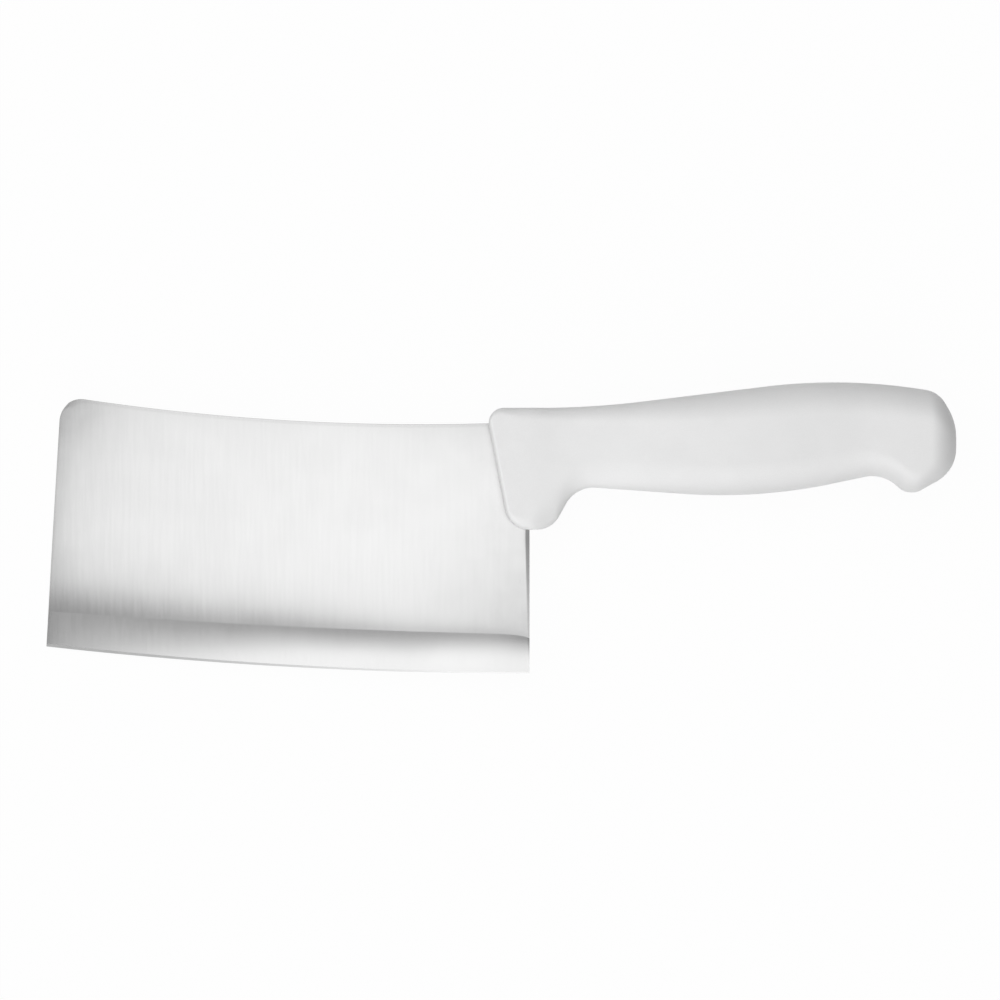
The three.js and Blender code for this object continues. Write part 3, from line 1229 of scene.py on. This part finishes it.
    def crossing(self, section: tuple[Vector, Vector], share: float) -> Triple:
        """Places one crossing of the grid.

        Args:
            section: The ends of the crossing's section.
            share: The crossing's share of the way up the section.

        Returns:
            The crossing's x, y and half width.
        """
        low, high = section
        place, length = low.lerp(high, share), (high - low).length
        lean = (self.nose_reach - self.guard_reach) / self.guard_depth
        front = -self.nose_reach + (self.collar_top - place.y) * lean
        behind = (place.x - front) / math.hypot(1.0, lean)
        rim = rounded(behind, self.nose_round) * rounded(self.grip_length - place.x, self.butt_round)
        rim *= rounded(share * length, through(self.lower_rounds, low.x))
        rim *= rounded((1 - share) * length, through(self.upper_rounds, high.x))
        return place.x, place.y, lerp(through(self.walls, place.x), through(self.widths, place.x) / 2, rim)

    def build(self) -> bpy.types.Object:
        """Shapes the moulding.

        Returns:
            The handle, still undressed.
        """
        bm = two_sided_shell(self.sections(), self.rows(), self.crossing)
        bmesh.ops.remove_doubles(bm, verts=bm.verts, dist=self.weld)
        bmesh.ops.recalc_face_normals(bm, faces=bm.faces)
        for face in bm.faces:
            face.smooth = True
        piece = finished_piece("moulded_handle", bm)
        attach(piece, "root")
        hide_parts("handle")
        return piece

    def dress(self, piece: bpy.types.Object, effects: SurfaceEffects) -> None:
        """Covers the built handle in its plastic, with the shared surface effects."""
        piece.data.materials.append(WhitePolypropylene().make(effects))


# The studio.


@dataclass
class Floor:
    """A plain pale floor on the plane that the cleaver really rests on."""

    reach: float = 9.0
    white: float = 0.32
    seen_white: float = 0.95
    glow: float = 0.955
    clearance: float = 0.0001
    facing_down: float = -0.5
    densities: tuple[tuple[str, float], ...] = (("blade", 7.8), ("handle", 0.92))

    def centre_of_mass(self) -> Vector:
        """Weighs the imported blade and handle.

        Returns:
            Their common centre of mass.
        """
        weight, moment = 0.0, Vector((0.0, 0.0, 0.0))
        for node, density in self.densities:
            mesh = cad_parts[node].data
            mesh.calc_loop_triangles()
            for triangle in mesh.loop_triangles:
                a, b, c = (mesh.vertices[index].co for index in triangle.vertices)
                part = density * a.dot(b.cross(c))
                weight += part
                moment += (a + b + c) * part / 4
        return moment / weight

    def resting_plane(self) -> tuple[Vector, Vector]:
        """Finds the plane under the lying cleaver: the face of its hull below its centre of mass.

        Returns:
            A point of the plane and its upward normal.
        """
        centre = self.centre_of_mass()
        bm = bmesh.new()
        for node, _ in self.densities:
            bm.from_mesh(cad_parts[node].data)
        bmesh.ops.convex_hull(bm, input=bm.verts)
        lowest, plane = math.inf, (Vector(), Vector((0.0, 0.0, 1.0)))
        for face in bm.faces:
            corner, normal = face.verts[0].co.copy(), face.normal.copy()
            if normal.z > self.facing_down:
                continue
            foot = centre + Vector((0.0, 0.0, (corner - centre).dot(normal) / normal.z))
            if foot.z < lowest and bmesh.geometry.intersect_face_point(face, foot):
                lowest, plane = foot.z, (corner, -normal)
        bm.free()
        return plane

    def build(self) -> bpy.types.Object:
        """Lays the floor.

        Returns:
            The floor, marked as stage.
        """
        point, normal = self.resting_plane()
        bm = bmesh.new()
        bmesh.ops.create_grid(bm, x_segments=2, y_segments=2, size=self.reach)
        bmesh.ops.rotate(bm, verts=bm.verts, matrix=normal.to_track_quat("Z", "Y").to_matrix())
        bmesh.ops.translate(bm, verts=bm.verts, vec=normal * (point.dot(normal) - self.clearance))
        piece = finished_piece("floor", bm)
        piece.data.materials.append(self.finish())
        return piece

    def finish(self) -> bpy.types.Material:
        """Makes the floor white to the eye and to polished steel, with the cleaver's shadow kept.

        Returns:
            The floor's material.
        """
        material = bpy.data.materials.new("pale_floor")
        board = empty_board(material)
        rays = board.add("ShaderNodeLightPath").outputs
        mirrored = board.larger(rays["Is Glossy Ray"], rays["Is Transmission Ray"])
        seen = board.larger(rays["Is Camera Ray"], mirrored)
        tone = board.ranged(seen, (0.0, 1.0), (self.white, self.seen_white))
        matte = board.add("ShaderNodeBsdfDiffuse", {"Color": board.grey(tone)}).outputs["BSDF"]
        glow = board.add("ShaderNodeEmission", {"Color": WHITE, "Strength": 1.0}).outputs["Emission"]
        both = board.mix(board.times(seen, self.glow), matte, glow)
        board.add("ShaderNodeOutputMaterial", {"Surface": both})
        return material


@dataclass
class Studio:
    """The camera over the lying cleaver, and the soft boxes round it.

    The boxes' brightness follows the two level parts of a direction, each from -1 to 1. Where the studio is
    open, steel also mirrors the white backdrop behind the boxes.
    """

    photo_side: float = 1000.0
    heel_across: float = 529.5
    edge_down: float = 673.5
    blade_across: float = 483.0
    camera_height: float = 1.2
    sensor_width: float = 36.0
    level: float = 1.815
    left_open: Pair = (0.1, 0.6)
    front_open: Pair = (-0.65, -0.35)
    front_white: float = 0.8
    low_open: Pair = (0.2, 0.7)
    low_white: float = 0.7
    front_to_back: Stops = (
        (-1.0, 1.95), (-0.85, 1.18), (-0.70, 0.68), (-0.50, 0.59), (-0.35, 0.75), (-0.24, 1.10),
        (-0.215, 1.09), (-0.175, 0.66), (-0.15, 0.33), (-0.125, 0.33), (-0.105, 0.60), (-0.075, 1.02),
        (-0.02, 1.10), (0.03, 1.07), (0.06, 0.97), (0.10, 0.93), (0.20, 0.97), (0.40, 1.04),
        (0.65, 0.98), (0.85, 0.32), (1.0, 0.05),
    )
    left_to_right: Stops = (
        (-1.0, 0.58), (-0.70, 0.56), (-0.50, 0.51), (-0.35, 0.46), (-0.22, 0.50), (-0.15, 0.67),
        (-0.09, 0.91), (-0.04, 0.99), (0.0, 0.89), (0.08, 0.85), (0.25, 0.90), (0.45, 0.37),
        (0.65, 0.07), (1.0, 0.0),
    )

    def place_camera(self, blade: Blade) -> None:
        """Sets the camera straight over the plate, framed as the photograph is.

        Args:
            blade: The blade, whose length gives the scale.
        """
        scale = blade.length / self.blade_across
        right = (self.photo_side / 2 - self.heel_across) * scale
        up = (self.edge_down - self.photo_side / 2) * scale
        data = bpy.data.cameras.new("camera")
        data.sensor_width = self.sensor_width
        data.lens = self.sensor_width * self.camera_height / (self.photo_side * scale)
        camera = bpy.data.objects.new("camera", data)
        camera.location = plate_origin() + Vector((right, up, self.camera_height))
        bpy.context.scene.collection.objects.link(camera)
        bpy.context.scene.camera = camera

    def light(self) -> None:
        """Puts soft boxes overhead and in front, with a dark gap between them, and dim ones at the sides."""
        world = bpy.data.worlds.new("studio")
        bpy.context.scene.world = world
        board = empty_board(world)
        way = board.parts(board.add("ShaderNodeTexCoord").outputs["Generated"])
        depth, width = board.ramp(way["Y"], self.front_to_back), board.ramp(way["X"], self.left_to_right)
        boxes = board.times(board.times(depth, width), self.level)
        left = board.ranged(way["X"], self.left_open, (1.0, 0.0))
        front = board.ranged(way["Y"], self.front_open, (self.front_white, 0.0))
        low = board.ranged(way["Z"], self.low_open, (self.low_white, 0.0))
        rays = board.add("ShaderNodeLightPath").outputs
        mirrored = board.larger(rays["Is Glossy Ray"], rays["Is Transmission Ray"])
        mirrored_white = board.times(mirrored, board.times(low, board.larger(left, front)))
        backdrop = board.larger(rays["Is Camera Ray"], mirrored_white)
        soft, white = (
            board.add("ShaderNodeBackground", {"Color": colour, "Strength": 1.0}).outputs["Background"]
            for colour in (boxes, WHITE)
        )
        board.add("ShaderNodeOutputWorld", {"Surface": board.mix(backdrop, soft, white)})
        bpy.context.scene.view_settings.view_transform = "Standard"


def main() -> None:
    """Builds the cleaver and its studio, and reports each piece."""
    logging.basicConfig(level=logging.INFO, format="%(name)s: %(message)s")
    effects = SurfaceEffects()
    blade, handle, studio = Blade(), Handle(), Studio()
    studio.place_camera(blade)
    for part in (blade, handle):
        piece = part.build()
        part.dress(piece, effects)
        size = [round(side, 4) for side in piece.dimensions]
        log.info("%s: %d faces, %s", piece.name, len(piece.data.polygons), size)
    Floor().build()
    studio.light()


if __name__ == "__main__":
    main()
